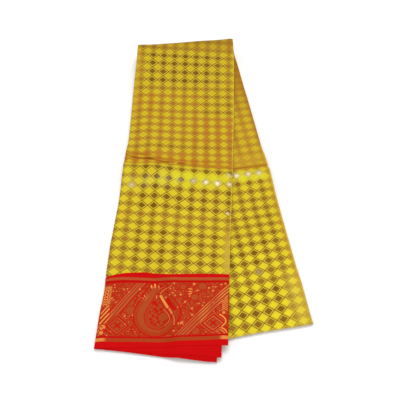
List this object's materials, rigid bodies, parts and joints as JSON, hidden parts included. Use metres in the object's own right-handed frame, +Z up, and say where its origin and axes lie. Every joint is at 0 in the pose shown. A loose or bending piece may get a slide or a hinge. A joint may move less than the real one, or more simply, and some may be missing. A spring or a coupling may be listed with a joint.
{
  "type": "folded sari",
  "caption": "Brocade sari folded into a long flat strip, turned over once at the top, with a contrasting pallu at the end of the upper leg.",
  "frame": {"origin": "on the floor, under the middle of the whole piece", "axes": "+Y towards the turned-over fold, +X to the right as pictured, +Z up"},
  "size_m": [0.4034, 0.8118, 0.06],
  "materials": {
    "yellow_brocade": "silk brocade with small bronze zari diamonds",
    "red_pallu": "red silk with a band of bronze zari",
    "hidden_layers": "folded edges of the same silk"
  },
  "bodies": {
    "root": {"upper_body_stretch": "yellow_brocade", "upper_underside_stretch": "yellow_brocade", "lower_body_stretch": "yellow_brocade", "lower_underside_stretch": "yellow_brocade", "hidden_layers": "hidden_layers", "pallu_face": "red_pallu", "pallu_second_layer": "red_pallu", "pallu_third_layer": "red_pallu"}
  },
  "joints": []
}
